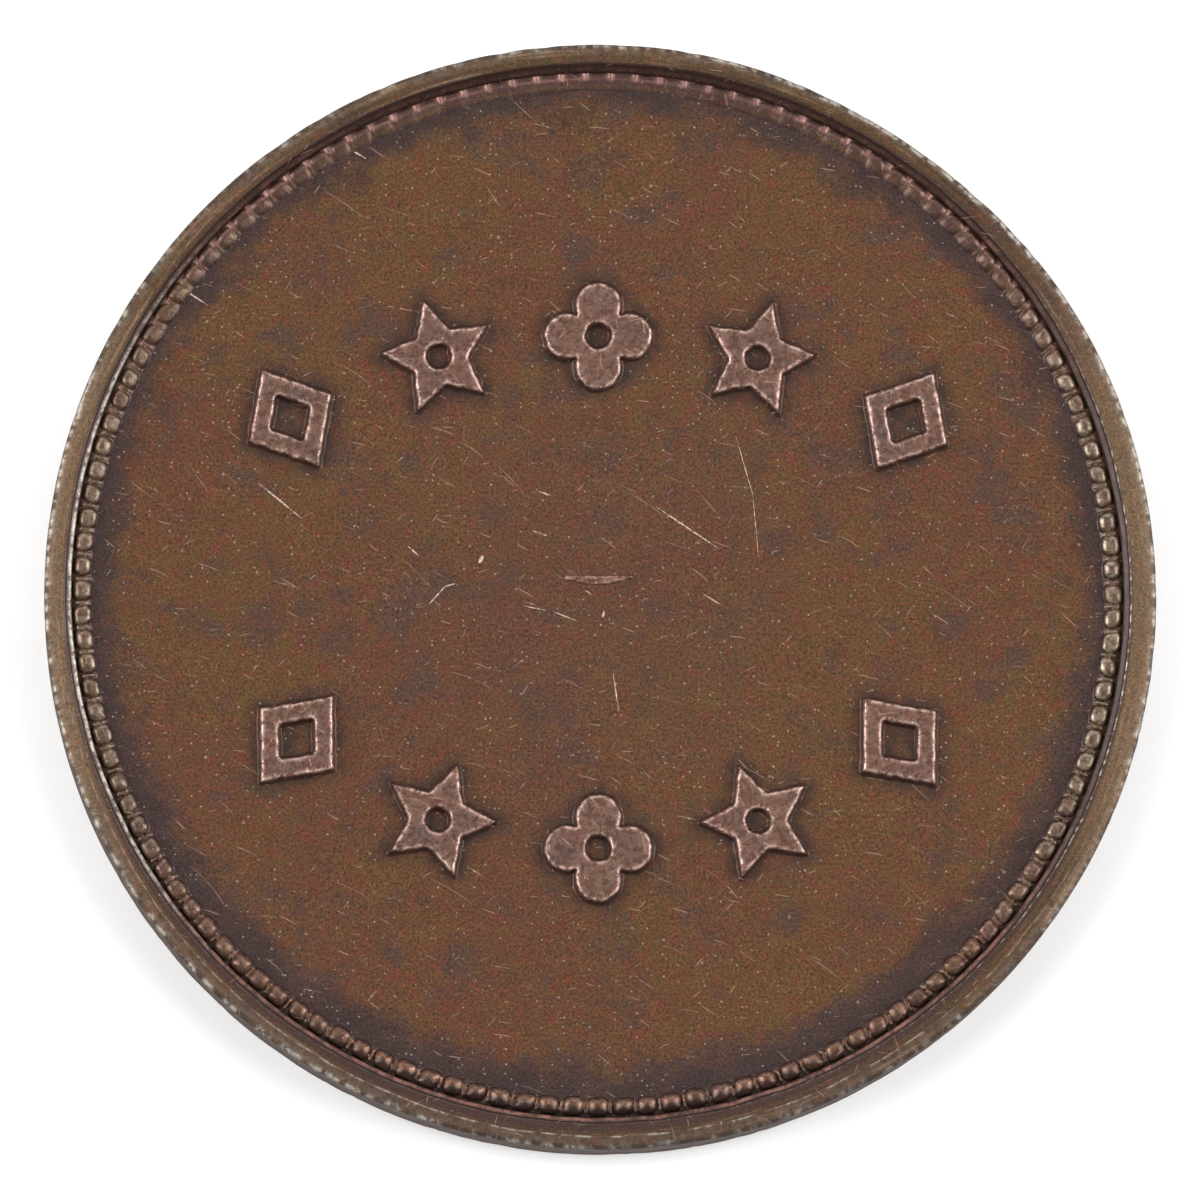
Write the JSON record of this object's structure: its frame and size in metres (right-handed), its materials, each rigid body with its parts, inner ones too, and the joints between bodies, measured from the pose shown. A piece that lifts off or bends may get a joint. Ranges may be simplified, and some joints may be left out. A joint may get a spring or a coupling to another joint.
{
  "type": "transit token",
  "caption": "Round struck bronze fare token with a raised rim, a beaded border and two arcs of raised ornaments on each face, for a fare box, chute or coin tube.",
  "frame": {"origin": "centre of the token's round base, on the flan's axis, in the plane of the back rim", "axes": "+Z out of the front face, +Y to the top of the front design, +X to its right"},
  "size_m": [0.025, 0.025, 0.0017],
  "materials": {
    "field_bronze": null,
    "rim_bronze": "brown bronze rubbed to a dull grey-brown at the edge",
    "relief_bronze": "brown bronze rubbed to copper on the high points"
  },
  "bodies": {
    "root": {"flan": "field_bronze", "front_rim": "rim_bronze", "front_beads": "relief_bronze", "front_centre_dash": "relief_bronze", "front_upper_lozenge_left": "relief_bronze", "front_upper_star_left": "relief_bronze", "front_upper_rosette": "relief_bronze", "front_upper_star_right": "relief_bronze", "front_upper_lozenge_right": "relief_bronze", "front_lower_lozenge_left": "relief_bronze", "front_lower_star_left": "relief_bronze", "front_lower_rosette": "relief_bronze", "front_lower_star_right": "relief_bronze", "front_lower_lozenge_right": "relief_bronze", "back_rim": "rim_bronze", "back_beads": "relief_bronze", "back_centre_dash": "relief_bronze", "back_upper_lozenge_left": "relief_bronze", "back_upper_star_left": "relief_bronze", "back_upper_rosette": "relief_bronze", "back_upper_star_right": "relief_bronze", "back_upper_lozenge_right": "relief_bronze", "back_lower_lozenge_left": "relief_bronze", "back_lower_star_left": "relief_bronze", "back_lower_rosette": "relief_bronze", "back_lower_star_right": "relief_bronze", "back_lower_lozenge_right": "relief_bronze"}
  },
  "joints": []
}
